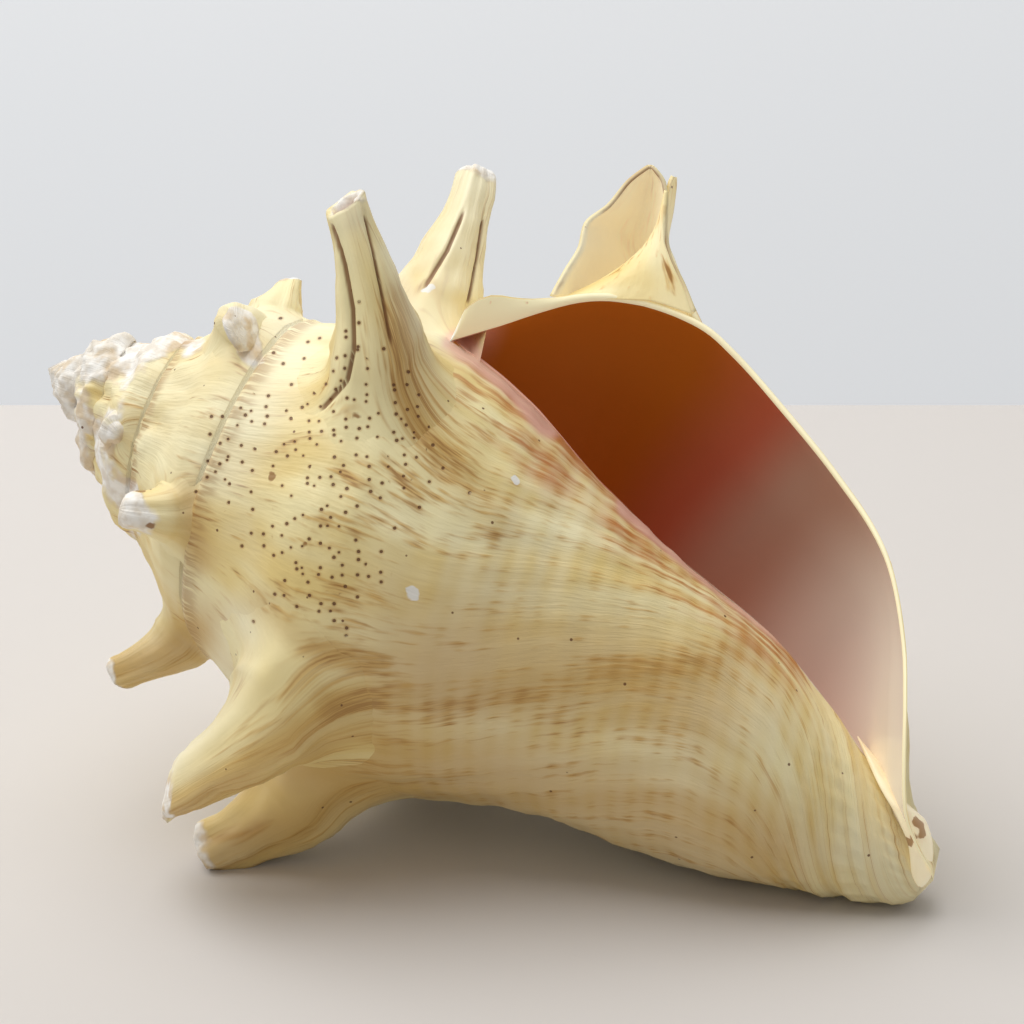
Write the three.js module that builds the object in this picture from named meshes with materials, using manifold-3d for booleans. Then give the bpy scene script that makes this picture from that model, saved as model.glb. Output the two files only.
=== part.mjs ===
// A subadult queen conch shell, lying on its back with the aperture up and to the side.
// Millimetres and degrees, +Z up, standing on Z = 0 below the middle of its bounding box.
//
// The shell is described in its own frame first: x runs along the coiling axis from the apex to the
// siphonal end, and angles around the axis start at +y and grow towards +z, the way the shell grew.
// A turn of 0 is the growing edge, the lip, and a turn of -1 is the same place one whorl earlier.
// Across the shell runs a place number: 0 is the suture, 1 the shoulder with the spines, 2 the line
// that the next whorl covers, and 3 the siphonal end.
import * as THREE from "three";
import { mergeVertices } from "three/addons/utils/BufferGeometryUtils.js";
import Module from "manifold-3d";

const wasm = await Module();
wasm.setup();

const SHELL_LENGTH = 200;
const LIP_ANGLE = 14;
const WHORL_GROWTH = 1.7;
const COLUMELLA_GROWTH = 1.45;

// The siphonal end bends away from the aperture, towards the back of the shell.
const BEND = { start: 118, drop: 16, angle: 190, power: 1.6 };

// Height and radius of the suture and of the shoulder at a few turns. Earlier whorls shrink evenly.
const WHORLS = [
  { turn: -2.03, suture: [26.5, 17.0], shoulder: [38.0, 30.0] },
  { turn: -1.53, suture: [34.5, 23.2], shoulder: [50.0, 35.0] },
  { turn: -1.03, suture: [46.5, 30.0], shoulder: [66.5, 39.7] },
  { turn: -0.78, suture: [49.5, 33.0], shoulder: [75.0, 44.5] },
  { turn: -0.5, suture: [56.5, 36.6], shoulder: [86.0, 53.6] },
  { turn: -0.25, suture: [65.0, 38.2], shoulder: [96.0, 59.5] },
  { turn: 0, suture: [75.5, 38.9], shoulder: [104.0, 62.2] },
];

// Radius below the shoulder as a share of the shoulder's, at shares of the way to the siphonal end.
const SIDE_AT = [0, 0.1, 0.2, 0.35, 0.5, 0.65, 0.8, 0.9, 0.96, 1];
const SIDE_EARLY = { turn: -1.03, share: [1, 0.955, 0.865, 0.645, 0.495, 0.44, 0.3, 0.175, 0.1, 0] };
const SIDE_BACK = { turn: -0.53, share: [1, 0.92, 0.825, 0.715, 0.635, 0.53, 0.37, 0.245, 0.155, 0] };
const SIDE_LIP = { turn: 0, share: [1, 1.01, 0.97, 0.885, 0.8, 0.7, 0.475, 0.28, 0.15, 0] };

// How far the lip's edge stands ahead of its corner at the suture, in degrees around the axis.
const LIP_PLACE = [0, 0.25, 0.5, 1, 2.16, 2.31, 2.5, 2.64, 2.75, 2.8, 2.86, 2.9, 3];
const LIP_AHEAD = [0, -9, -15, -19, -20, -18, -13, -5, 8, 22, 42, 54, 62];
const LIP_REACH = 0.22;

const LIP_THICKNESS = 1.6;
const WALL_THICKNESS = 3.8;
const HOLLOW_TURNS = 0.75;
const CORE_SWELL = 0.6;

// Grid of the surface.
const STEPS_PER_TURN = 40;
const SPIRE_TURNS = 5;
const PLACES = [0, 0.25, 0.5, 0.78, 1, 1.5, 2, 2.03, 2.12, 2.22, 2.33, 2.44, 2.55, 2.66, 2.76, 2.86, 2.94, 3];
const COVER = PLACES.indexOf(2);
const INNER = COVER + 1;
const END = PLACES.length - 1;
const APEX_HEIGHT = 2.5;

// Spines along the shoulder: where the foot is, where the tip is (height, radius, angle), and the
// radii of foot and tip. wide stretches the section along the shoulder.
const SPINE_SIDES = 12;
const SPINE_SINK = 9;
const HORN_STRAIGHT = 0.3;
const HORN_FLARE = 1.35;
const HORN_STATIONS = [0, 0.16, 0.34, 0.6, 1];
const SPINES = [
  { turn: -2.68, tip: [27, 21.5, 104], foot: 4.5, end: 2 },
  { turn: -2.3, tip: [29, 29, 268], foot: 5, end: 2 },
  { turn: -2.04, tip: [35.6, 37, 347.5], foot: 6.5, end: 2.6 },
  { turn: -1.93, tip: [42, 35, 47], foot: 5, end: 3 },
  { turn: -1.72, tip: [40.3, 36.5, 116], foot: 6.5, end: 3.6 },
  { turn: -1.54, tip: [43.7, 47.6, 170], foot: 8.5, end: 3.4 },
  { turn: -1.38, tip: [48, 52, 236], foot: 8, end: 3 },
  { turn: -1.23, tip: [52, 57, 289], foot: 8.5, end: 3 },
  { turn: -1.08, tip: [57.1, 76.7, 341], foot: 13, end: 3.8, wide: 1.2 },
  { turn: -0.9, tip: [55.5, 65.7, 39.8], foot: 11, end: 3.6, wide: 1.15 },
  { turn: -0.65, tip: [67.4, 63.2, 159.6], foot: 13, end: 5.5, wide: 1.15 },
  { turn: -0.54, tip: [74.5, 69.7, 178.4], foot: 13, end: 4.8, wide: 1.15 },
  { turn: -0.4, tip: [75, 63, 231], foot: 10.5, end: 4.6, wide: 1.15 },
  { turn: -0.22, tip: [82, 80, 292], foot: 12, end: 3.5, wide: 1.2 },
];
const OPEN_TIP = { spine: 9, depth: 7, radius: 2.4 };

// The half-made spine at the lip: a folded leaf, open towards the aperture side.
const LIP_SPINE = { turn: -0.045, tip: [92, 88, 350], foot: [9, 13], end: [1.6, 2.2], wall: 2.2, open: [-2, -1, 5] };

// Rest pose: the axis dips towards the siphonal end and the shell is rolled onto its back.
const AXIS_DIP = 18.94;
const UP_ANGLE = 25.8;
const FLOOR_TRIM = 2.1;

const radians = THREE.MathUtils.degToRad;

function smooth(x) {
  const t = THREE.MathUtils.clamp(x, 0, 1);
  return t * t * (3 - 2 * t);
}

// A smooth curve through points that never overshoots between them.
function curveThrough(xs, ys) {
  const slopes = xs.slice(1).map((x, i) => (ys[i + 1] - ys[i]) / (x - xs[i]));
  const tangents = xs.map((_, i) => {
    if (i === 0) return slopes[0];
    if (i === xs.length - 1) return slopes[i - 1];
    if (slopes[i - 1] * slopes[i] <= 0) return 0;
    return (2 * slopes[i - 1] * slopes[i]) / (slopes[i - 1] + slopes[i]);
  });
  return (at) => {
    const x = THREE.MathUtils.clamp(at, xs[0], xs[xs.length - 1]);
    let i = 0;
    while (i < xs.length - 2 && x > xs[i + 1]) i += 1;
    const width = xs[i + 1] - xs[i];
    const t = (x - xs[i]) / width;
    const rise = ys[i + 1] - ys[i];
    const start = tangents[i] * width;
    const stop = tangents[i + 1] * width;
    return ys[i] + start * t + (3 * rise - 2 * start - stop) * t * t + (start + stop - 2 * rise) * t * t * t;
  };
}

const FIRST_TURN = WHORLS[0].turn;
const turnsGiven = WHORLS.map((whorl) => whorl.turn);

// One measure of the suture or the shoulder, followed along the turns.
function alongTurns(line, index) {
  const logs = curveThrough(turnsGiven, WHORLS.map((whorl) => Math.log(whorl[line][index])));
  return (turn) => Math.exp(logs(turn)) * WHORL_GROWTH ** Math.min(turn - FIRST_TURN, 0);
}

const sutureHeight = alongTurns("suture", 0);
const sutureRadius = alongTurns("suture", 1);
const shoulderHeight = alongTurns("shoulder", 0);
const shoulderRadius = alongTurns("shoulder", 1);

const sides = [SIDE_EARLY, SIDE_BACK, SIDE_LIP].map((side) => curveThrough(SIDE_AT, side.share));

// Share of the shoulder's radius at a share of the way down to the siphonal end.
function sideShare(way, turn) {
  const back = smooth((turn - SIDE_EARLY.turn) / (SIDE_BACK.turn - SIDE_EARLY.turn));
  const lip = smooth((turn - SIDE_BACK.turn) / (SIDE_LIP.turn - SIDE_BACK.turn));
  return sides[0](way) * (1 - back) + sides[1](way) * (back - lip) + sides[2](way) * lip;
}

function endHeight(turn) {
  return SHELL_LENGTH * COLUMELLA_GROWTH ** Math.min(turn + 1, 0);
}

// Height and radius of the outer surface.
function profile(turn, place) {
  const [h0, r0] = [sutureHeight(turn), sutureRadius(turn)];
  const [h1, r1] = [shoulderHeight(turn), shoulderRadius(turn)];
  if (place <= 1) {
    const hollow = 0.07 - 0.12 * smooth((turn + 0.3) / 0.3);
    const sag = hollow * Math.sin(Math.PI * place) * (r1 - r0 + 0.3 * (h1 - h0));
    return [h0 + (h1 - h0) * place, r0 + (r1 - r0) * place - sag];
  }
  const covered = Math.min(turn, -1);
  const coveredShoulder = shoulderHeight(covered);
  const coverWay =
    (sutureHeight(covered + 1) - coveredShoulder) / (endHeight(covered) - coveredShoulder);
  const coverGap =
    sutureRadius(covered + 1) - shoulderRadius(covered) * sideShare(coverWay, covered);
  const way = place < 2 ? coverWay * (place - 1) : coverWay + (1 - coverWay) * (place - 2);
  const meets = place < 2 ? place - 1 : Math.max(0, 1 - (place - 2) * 4);
  const radius = r1 * sideShare(way, turn) + coverGap * smooth((-0.85 - turn) / 0.15) * meets;
  return [h1 + (endHeight(turn) - h1) * way, radius];
}

const lipAhead = curveThrough(LIP_PLACE, LIP_AHEAD);

function angleAt(turn, place) {
  return LIP_ANGLE + 360 * turn + lipAhead(place) * smooth((turn + LIP_REACH) / LIP_REACH);
}

// The point at a height, a distance from the bent axis and an angle around it.
function pointAt(height, radius, angle) {
  const past = Math.max(0, (height - BEND.start) / (SHELL_LENGTH - BEND.start));
  const drop = BEND.drop * past ** BEND.power;
  return new THREE.Vector3(
    height,
    radius * Math.cos(radians(angle)) + drop * Math.cos(radians(BEND.angle)),
    radius * Math.sin(radians(angle)) + drop * Math.sin(radians(BEND.angle)),
  );
}

function outerPoint(turn, place) {
  const [height, radius] = profile(turn, place);
  return pointAt(height, radius, angleAt(turn, place));
}

// The inner face of the outer wall. It closes on the end of the whorl before it.
function innerPoint(turn, place, thinner = 0) {
  const [height, radius] = profile(turn, place);
  const h1 = shoulderHeight(turn);
  const deep = smooth(-turn / 0.12);
  const wall = LIP_THICKNESS + (WALL_THICKNESS - LIP_THICKNESS) * deep - thinner;
  if (place <= 1) return pointAt(height, radius - wall * Math.min(1, place / 0.25), angleAt(turn, place));
  const way = (height - h1) / (endHeight(turn) - h1);
  const inner = h1 + (endHeight(turn - 1) - h1) * way;
  const wayThere = THREE.MathUtils.clamp((inner - h1) / (endHeight(turn) - h1), 0, 1);
  const closing = 1 - smooth((way - 0.72) / 0.28) * (1 - Math.exp(turn * 14));
  const edge = Math.sqrt(THREE.MathUtils.clamp((1 - way) / 0.12, 0, 1));
  const reach = shoulderRadius(turn) * sideShare(wayThere, turn) - wall * edge;
  return pointAt(inner, Math.max(0, reach) * closing, angleAt(turn, place));
}

// Collects vertices and triangles. Faces are given so that their fronts look outwards.
class Skin {
  constructor() {
    this.positions = [];
    this.triangles = [];
  }

  vertex(point) {
    this.positions.push(point.x, point.y, point.z);
    return this.positions.length / 3 - 1;
  }

  triangle(a, b, c) {
    if (a !== b && b !== c && a !== c) this.triangles.push(a, c, b);
  }

  quad(a, b, c, d) {
    this.triangle(a, b, c);
    this.triangle(a, c, d);
  }

  geometry() {
    const made = new THREE.BufferGeometry();
    made.setAttribute("position", new THREE.Float32BufferAttribute(this.positions, 3));
    made.setIndex(this.triangles);
    return made;
  }
}

const rowTurn = (row) => row / STEPS_PER_TURN;
const hollowRows = Math.round(HOLLOW_TURNS * STEPS_PER_TURN);

// Outer vertices by row and column. The last column before the cover line is the next whorl's
// suture, and all columns of the last whorl end in one tip.
function outerGrid(skin) {
  const known = new Map();
  const tip = skin.vertex(outerPoint(0, 3));
  return function at(row, column) {
    if (column === COVER && row <= -STEPS_PER_TURN) return at(row + STEPS_PER_TURN, 0);
    if (column === END && row >= -STEPS_PER_TURN) return tip;
    const key = row * 100 + column;
    if (!known.has(key)) known.set(key, skin.vertex(outerPoint(rowTurn(row), PLACES[column])));
    return known.get(key);
  };
}

function addSpire(skin, at) {
  const first = -SPIRE_TURNS * STEPS_PER_TURN;
  for (let row = first; row < -STEPS_PER_TURN; row += 1) {
    for (let column = 0; column < COVER; column += 1) {
      skin.quad(at(row, column), at(row, column + 1), at(row + 1, column + 1), at(row + 1, column));
    }
  }
  const apex = skin.vertex(pointAt(APEX_HEIGHT, 0, 0));
  for (let row = first; row < first + STEPS_PER_TURN; row += 1) {
    skin.triangle(apex, at(row, 0), at(row + 1, 0));
  }
  for (let column = 0; column < COVER; column += 1) {
    skin.triangle(apex, at(first, column + 1), at(first, column));
  }
}

function addBodyWhorl(skin, at) {
  for (let row = -STEPS_PER_TURN; row < 0; row += 1) {
    for (let column = 0; column < END; column += 1) {
      skin.quad(at(row, column), at(row, column + 1), at(row + 1, column + 1), at(row + 1, column));
    }
  }
}

// The lip's edge, the interior behind it, the wall of the whorl before, and the deep end.
function addAperture(skin, at) {
  const known = new Map();
  const inside = (row, column) => {
    if (column === 0) return at(row - STEPS_PER_TURN, INNER);
    if (column === END) return at(row - STEPS_PER_TURN, END);
    const key = row * 100 + column;
    if (!known.has(key)) known.set(key, skin.vertex(innerPoint(rowTurn(row), PLACES[column])));
    return known.get(key);
  };
  for (let column = 0; column < END; column += 1) {
    skin.quad(at(0, column), at(0, column + 1), inside(0, column + 1), inside(0, column));
  }
  for (let row = -hollowRows; row < 0; row += 1) {
    for (let column = 0; column < END; column += 1) {
      skin.quad(
        inside(row, column),
        inside(row + 1, column),
        inside(row + 1, column + 1),
        inside(row, column + 1),
      );
    }
    const before = row - STEPS_PER_TURN;
    for (let column = INNER; column < END; column += 1) {
      skin.quad(
        at(before, column),
        at(before, column + 1),
        at(before + 1, column + 1),
        at(before + 1, column),
      );
    }
  }
  const deep = -hollowRows;
  for (let column = 0; column < INNER; column += 1) {
    skin.triangle(inside(deep, 0), inside(deep, column), inside(deep, column + 1));
  }
  for (let column = INNER; column < END; column += 1) {
    const before = deep - STEPS_PER_TURN;
    skin.quad(
      at(before, column),
      inside(deep, column),
      inside(deep, column + 1),
      at(before, column + 1),
    );
  }
}

function shellSkin() {
  const skin = new Skin();
  const at = outerGrid(skin);
  addSpire(skin, at);
  addBodyWhorl(skin, at);
  addAperture(skin, at);
  return skin.geometry();
}

// The interior as a body of its own, a little larger than the hollow, to keep spine feet out of it.
function interiorCore() {
  const skin = new Skin();
  const around = [];
  for (let row = -hollowRows; row <= 0; row += 1) {
    const turn = rowTurn(row);
    const wallSide = PLACES.slice(1, END).map((place) => innerPoint(turn, place, CORE_SWELL));
    const axisSide = PLACES.slice(INNER, END).reverse().map((place) => {
      const [height, radius] = profile(turn - 1, place);
      return pointAt(height, Math.max(radius - CORE_SWELL, 0.5), angleAt(turn - 1, place));
    });
    around.push([...wallSide, ...axisSide].map((point) => skin.vertex(point)));
  }
  const count = around[0].length;
  for (let row = 0; row + 1 < around.length; row += 1) {
    for (let i = 0; i < count; i += 1) {
      const next = (i + 1) % count;
      skin.quad(around[row][i], around[row][next], around[row + 1][next], around[row + 1][i]);
    }
  }
  for (const [ring, front] of [[around[0], false], [around[around.length - 1], true]]) {
    const middle = new THREE.Vector3();
    for (const id of ring) {
      middle.add(new THREE.Vector3().fromArray(skin.positions, id * 3).divideScalar(count));
    }
    const centre = skin.vertex(middle);
    for (let i = 0; i < count; i += 1) {
      const next = (i + 1) % count;
      if (front) skin.triangle(ring[i], ring[next], centre);
      else skin.triangle(ring[next], ring[i], centre);
    }
  }
  return skin.geometry();
}

function solidOf(geometry) {
  const bare = geometry.clone();
  bare.deleteAttribute("normal");
  bare.deleteAttribute("uv");
  const merged = mergeVertices(bare, 1e-4);
  const corners = [];
  for (let i = 0; i < merged.index.count; i += 3) {
    const [a, b, c] = [0, 1, 2].map((step) => merged.index.getX(i + step));
    if (a !== b && b !== c && a !== c) corners.push(a, b, c);
  }
  const vertProperties = new Float32Array(merged.attributes.position.array);
  return new wasm.Manifold(new wasm.Mesh({ numProp: 3, vertProperties, triVerts: new Uint32Array(corners) }));
}

function geometryOf(solid) {
  const mesh = solid.getMesh();
  const made = new THREE.BufferGeometry();
  made.setAttribute("position", new THREE.Float32BufferAttribute(mesh.vertProperties, 3));
  made.setIndex(Array.from(mesh.triVerts));
  return made;
}

// A horn that leaves the shoulder straight out and then leans over to its tip. Its sections are
// ellipses with one radius around the whorl and one along it.
function horn(foot, tip, footRadii, endRadii, sink) {
  const outwards = new THREE.Vector3(0, foot.y, foot.z).normalize();
  const length = foot.distanceTo(tip);
  const elbow = foot.clone().addScaledVector(outwards, length * HORN_STRAIGHT);
  const spine = new THREE.QuadraticBezierCurve3(foot, elbow, tip);
  const around = new THREE.Vector3(1, 0, 0).cross(outwards);
  const skin = new Skin();
  const ring = (centre, tangent, narrowing) => {
    const along = new THREE.Vector3().crossVectors(tangent, around).normalize();
    return Array.from({ length: SPINE_SIDES }, (_, side) => {
      const angle = (2 * Math.PI * side) / SPINE_SIDES;
      const radii = footRadii.map((radius, i) => endRadii[i] + (radius - endRadii[i]) * narrowing);
      const point = centre.clone();
      point.addScaledVector(around, radii[0] * Math.cos(angle));
      point.addScaledVector(along, radii[1] * Math.sin(angle));
      return skin.vertex(point);
    });
  };
  const rings = [ring(foot.clone().addScaledVector(outwards, -sink), outwards, 1)];
  for (const way of HORN_STATIONS) {
    rings.push(ring(spine.getPoint(way), spine.getTangent(way), (1 - way) ** HORN_FLARE));
  }
  for (let i = 0; i + 1 < rings.length; i += 1) {
    for (let side = 0; side < SPINE_SIDES; side += 1) {
      const next = (side + 1) % SPINE_SIDES;
      skin.quad(rings[i][side], rings[i + 1][side], rings[i + 1][next], rings[i][next]);
    }
  }
  const last = rings[rings.length - 1];
  for (let side = 1; side + 1 < SPINE_SIDES; side += 1) {
    skin.triangle(rings[0][0], rings[0][side], rings[0][side + 1]);
    skin.triangle(last[0], last[side + 1], last[side]);
  }
  return solidOf(skin.geometry());
}

function spineSolid(spine) {
  const foot = outerPoint(spine.turn, 1);
  const tip = pointAt(...spine.tip);
  const around = spine.foot * (spine.wide ?? 1);
  return horn(foot, tip, [around, spine.foot], [spine.end, spine.end], Math.min(SPINE_SINK, spine.foot));
}

function lipSpineSolid() {
  const { turn, tip, foot, end, wall, open } = LIP_SPINE;
  const base = outerPoint(turn, 1);
  const whole = horn(base, pointAt(...tip), foot, end, 5);
  const shift = new THREE.Vector3(...open);
  const gutter = horn(
    base.clone().add(shift),
    pointAt(...tip).add(shift),
    foot.map((radius) => radius - wall),
    end.map((radius) => radius * 0.7),
    7,
  );
  return whole.subtract(gutter);
}

// A cut can leave a crumb beside the piece that is wanted.
function largestBody(solid) {
  return solid.decompose().reduce((best, body) => (body.volume() > best.volume() ? body : best));
}

function openTipPit() {
  const spine = SPINES[OPEN_TIP.spine];
  const tip = pointAt(...spine.tip);
  const inward = outerPoint(spine.turn, 1).sub(tip).normalize();
  const pit = new THREE.CylinderGeometry(OPEN_TIP.radius, 1, OPEN_TIP.depth * 2, SPINE_SIDES);
  const upright = new THREE.Quaternion().setFromUnitVectors(new THREE.Vector3(0, -1, 0), inward);
  pit.applyQuaternion(upright).translate(tip.x, tip.y, tip.z);
  return solidOf(pit);
}

function restTurn() {
  const roll = new THREE.Matrix4().makeRotationX(radians(90 - UP_ANGLE));
  const dip = new THREE.Matrix4().makeRotationY(radians(AXIS_DIP));
  return dip.multiply(roll);
}

// Takes a sliver off the lowest points, as the worn spots on which the shell rests.
function wornFlat(geometry) {
  geometry.computeBoundingBox();
  const box = geometry.boundingBox;
  const size = box.getSize(new THREE.Vector3());
  const slab = new THREE.BoxGeometry(size.x + 20, size.y + 20, 20);
  const middle = box.getCenter(new THREE.Vector3());
  slab.translate(middle.x, middle.y, box.min.z + FLOOR_TRIM - 10);
  return geometryOf(solidOf(geometry).subtract(solidOf(slab)));
}

function wholeShell() {
  const core = solidOf(interiorCore());
  let shell = solidOf(shellSkin());
  for (const spine of SPINES) shell = shell.add(spineSolid(spine).subtract(core));
  shell = shell.add(largestBody(lipSpineSolid().subtract(core))).subtract(openTipPit());
  const turned = geometryOf(shell).applyMatrix4(restTurn());
  return wornFlat(turned);
}

function shellMaterial() {
  return new THREE.MeshStandardMaterial({ color: 0xe3cf9c, roughness: 0.5, metalness: 0 });
}

const shell = new THREE.Mesh(wholeShell(), shellMaterial());
shell.name = "queen_conch_shell";
shell.geometry.computeBoundingBox();
const box = shell.geometry.boundingBox;
shell.position.set(-(box.min.x + box.max.x) / 2, -(box.min.y + box.max.y) / 2, -box.min.z);

const conch = new THREE.Group();
conch.add(shell);
export default conch;
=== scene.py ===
import math

import bmesh
import bpy
import numpy as np
from mathutils import Matrix, Vector


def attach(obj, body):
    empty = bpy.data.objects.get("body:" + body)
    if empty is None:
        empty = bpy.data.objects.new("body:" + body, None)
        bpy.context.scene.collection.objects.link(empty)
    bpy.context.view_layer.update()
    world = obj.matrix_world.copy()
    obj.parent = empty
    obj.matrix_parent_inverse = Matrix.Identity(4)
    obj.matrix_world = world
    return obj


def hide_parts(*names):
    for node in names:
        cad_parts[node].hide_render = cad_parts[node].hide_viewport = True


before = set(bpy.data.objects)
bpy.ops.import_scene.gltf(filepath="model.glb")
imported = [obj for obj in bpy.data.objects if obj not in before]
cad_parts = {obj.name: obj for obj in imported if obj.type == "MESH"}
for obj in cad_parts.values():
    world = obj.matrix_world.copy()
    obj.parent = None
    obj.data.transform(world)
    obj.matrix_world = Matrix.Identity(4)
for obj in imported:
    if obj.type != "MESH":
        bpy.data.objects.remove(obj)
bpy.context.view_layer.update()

NODE = "queen_conch_shell"

# The shell in its own frame, in millimetres and degrees: x runs along the coiling axis from the apex,
# angles around it grow the way the shell grew. A turn of 0 is the lip; place runs across the whorl.
SHELL_LENGTH = 200
LIP_ANGLE = 14
WHORL_GROWTH = 1.7
COLUMELLA_GROWTH = 1.45
BEND = {"start": 118, "drop": 16, "angle": 190, "power": 1.6}
WHORL_TURNS = [-2.03, -1.53, -1.03, -0.78, -0.5, -0.25, 0]
SUTURE_HEIGHT = [26.5, 34.5, 46.5, 49.5, 56.5, 65.0, 75.5]
SUTURE_RADIUS = [17.0, 23.2, 30.0, 33.0, 36.6, 38.2, 38.9]
SHOULDER_HEIGHT = [38.0, 50.0, 66.5, 75.0, 86.0, 96.0, 104.0]
SHOULDER_RADIUS = [30.0, 35.0, 39.7, 44.5, 53.6, 59.5, 62.2]
SIDE_AT = [0, 0.1, 0.2, 0.35, 0.5, 0.65, 0.8, 0.9, 0.96, 0.985, 1]
SIDE_TURNS = [-1.03, -0.53, 0]
SIDE_EARLY = [1, 0.955, 0.865, 0.645, 0.495, 0.44, 0.3, 0.175, 0.1, 0.07, 0]
SIDE_BACK = [1, 0.92, 0.825, 0.715, 0.635, 0.53, 0.37, 0.245, 0.155, 0.105, 0]
SIDE_LIP = [1, 1.01, 0.97, 0.885, 0.8, 0.7, 0.475, 0.28, 0.15, 0.105, 0]
LIP_PLACE = [0, 0.25, 0.5, 1, 2.16, 2.31, 2.5, 2.64, 2.75, 2.8, 2.86, 2.9, 3]
LIP_AHEAD = [0, -9, -15, -19, -20, -18, -13, -5, 8, 22, 42, 54, 62]
LIP_REACH = 0.22
LIP_THICKNESS = 1.1
WALL_THICKNESS = 3.8
HOLLOW_TURNS = 0.75
APEX_HEIGHT = 0.2
SHOULDER_ROUNDING = 0.16

# Rest pose, and where the apex end of the axis is in the room.
AXIS_DIP = 18.94
ROLL = 64.2
AXIS_START = (-93.27, -13.74, 85.51)

ROWS = 172
SPIRE_TURNS = 6


def smooth(x):
    """0 below 0, 1 above 1, smooth between them."""
    t = np.clip(x, 0, 1)
    return t * t * (3 - 2 * t)


def bell(x, middle, width):
    return np.exp(-(((x - middle) / width) ** 2))


def unit(vectors):
    return vectors / np.maximum(np.linalg.norm(vectors, axis=-1, keepdims=True), 1e-9)


def curve_through(xs, ys):
    """A smooth curve through points that never overshoots between them."""
    xs = np.asarray(xs, float)
    ys = np.asarray(ys, float)
    slopes = np.diff(ys) / np.diff(xs)
    product = slopes[:-1] * slopes[1:]
    total = slopes[:-1] + slopes[1:]
    inner = np.where(product > 0, 2 * product / np.where(product > 0, total, 1), 0)
    tangents = np.concatenate([slopes[:1], inner, slopes[-1:]])

    def curve(at):
        x = np.clip(at, xs[0], xs[-1])
        i = np.clip(np.searchsorted(xs, x, side="right") - 1, 0, len(xs) - 2)
        width = xs[i + 1] - xs[i]
        t = (x - xs[i]) / width
        rise = ys[i + 1] - ys[i]
        start = tangents[i] * width
        stop = tangents[i + 1] * width
        return ys[i] + start * t + (3 * rise - 2 * start - stop) * t**2 + (start + stop - 2 * rise) * t**3

    return curve


def along_turns(values):
    """A measure given at a few turns, followed along the shell."""
    logs = curve_through(WHORL_TURNS, np.log(values))
    return lambda turn: np.exp(logs(turn)) * WHORL_GROWTH ** np.minimum(turn - WHORL_TURNS[0], 0)


suture_height = along_turns(SUTURE_HEIGHT)
suture_radius = along_turns(SUTURE_RADIUS)
shoulder_height = along_turns(SHOULDER_HEIGHT)
shoulder_radius = along_turns(SHOULDER_RADIUS)
sides = [curve_through(SIDE_AT, share) for share in (SIDE_EARLY, SIDE_BACK, SIDE_LIP)]
lip_ahead = curve_through(LIP_PLACE, LIP_AHEAD)

# The siphonal notch: how much the wall behind the lip is drawn in towards the siphonal end.
NOTCH_WAY = [0, 0.6, 0.72, 0.8, 0.86, 0.9, 0.93, 0.96, 1]
NOTCH_DEPTH = [0, 0, 0.06, 0.17, 0.32, 0.44, 0.48, 0.38, 0]
notch = curve_through(NOTCH_WAY, NOTCH_DEPTH)


def side_share(way, turn):
    """Radius below the shoulder as a share of the shoulder's, at a share of the way to the siphonal end."""
    back = smooth((turn - SIDE_TURNS[0]) / (SIDE_TURNS[1] - SIDE_TURNS[0]))
    lip = smooth((turn - SIDE_TURNS[1]) / (SIDE_TURNS[2] - SIDE_TURNS[1]))
    share = sides[0](way) * (1 - back) + sides[1](way) * (back - lip) + sides[2](way) * lip
    return share * (1 - notch(way) * smooth(-turn / 0.05) * smooth((turn + 0.36) / 0.16))


def end_height(turn):
    return SHELL_LENGTH * COLUMELLA_GROWTH ** np.minimum(turn + 1, 0)


def profile(turn, place):
    """Height and radius of the outer surface."""
    h0, r0 = suture_height(turn), suture_radius(turn)
    h1, r1 = shoulder_height(turn), shoulder_radius(turn)
    hollow = 0.07 - 0.19 * smooth((turn + 0.3) / 0.3)
    ramp = np.clip(place, 0, 1)
    sag = hollow * np.sin(np.pi * ramp**1.35) * (r1 - r0 + 0.3 * (h1 - h0))
    covered = np.minimum(turn, -1)
    covered_shoulder = shoulder_height(covered)
    cover_way = (suture_height(covered + 1) - covered_shoulder) / (end_height(covered) - covered_shoulder)
    cover_gap = suture_radius(covered + 1) - shoulder_radius(covered) * side_share(cover_way, covered)
    side = np.maximum(place, 1)
    way = np.where(side < 2, cover_way * (side - 1), cover_way + (1 - cover_way) * (side - 2))
    meets = np.where(side < 2, side - 1, np.maximum(0, 1 - (side - 2) * 4))
    below = r1 * side_share(way, turn) + cover_gap * smooth((-0.85 - turn) / 0.15) * meets
    height = np.where(place <= 1, h0 + (h1 - h0) * ramp, h1 + (end_height(turn) - h1) * way)
    return height, np.where(place <= 1, r0 + (r1 - r0) * ramp - sag, below)


def angle_at(turn, place):
    return LIP_ANGLE + 360 * turn + lip_ahead(place) * smooth((turn + LIP_REACH) / LIP_REACH)


def point_at(height, radius, angle):
    """A point of the shell, with the bend of its siphonal end."""
    past = np.maximum(0, (height - BEND["start"]) / (SHELL_LENGTH - BEND["start"]))
    drop = BEND["drop"] * past ** BEND["power"]
    turned = np.radians(angle)
    bent = math.radians(BEND["angle"])
    y = radius * np.cos(turned) + drop * math.cos(bent)
    z = radius * np.sin(turned) + drop * math.sin(bent)
    return np.stack(np.broadcast_arrays(height, y, z), -1)


def sharp_outer_point(turn, place):
    height, radius = profile(turn, place)
    return point_at(height, radius, angle_at(turn, place))


def across_lengths(turn):
    """Lengths in millimetres of the ramp, of the covered strip and of the rest of the side."""
    h0, r0 = suture_height(turn), suture_radius(turn)
    h1, r1 = shoulder_height(turn), shoulder_radius(turn)
    covered = np.minimum(turn, -1)
    cover = suture_height(covered + 1) - shoulder_height(covered)
    return np.hypot(h1 - h0, r1 - r0), cover, end_height(turn) - h1 - cover


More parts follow.
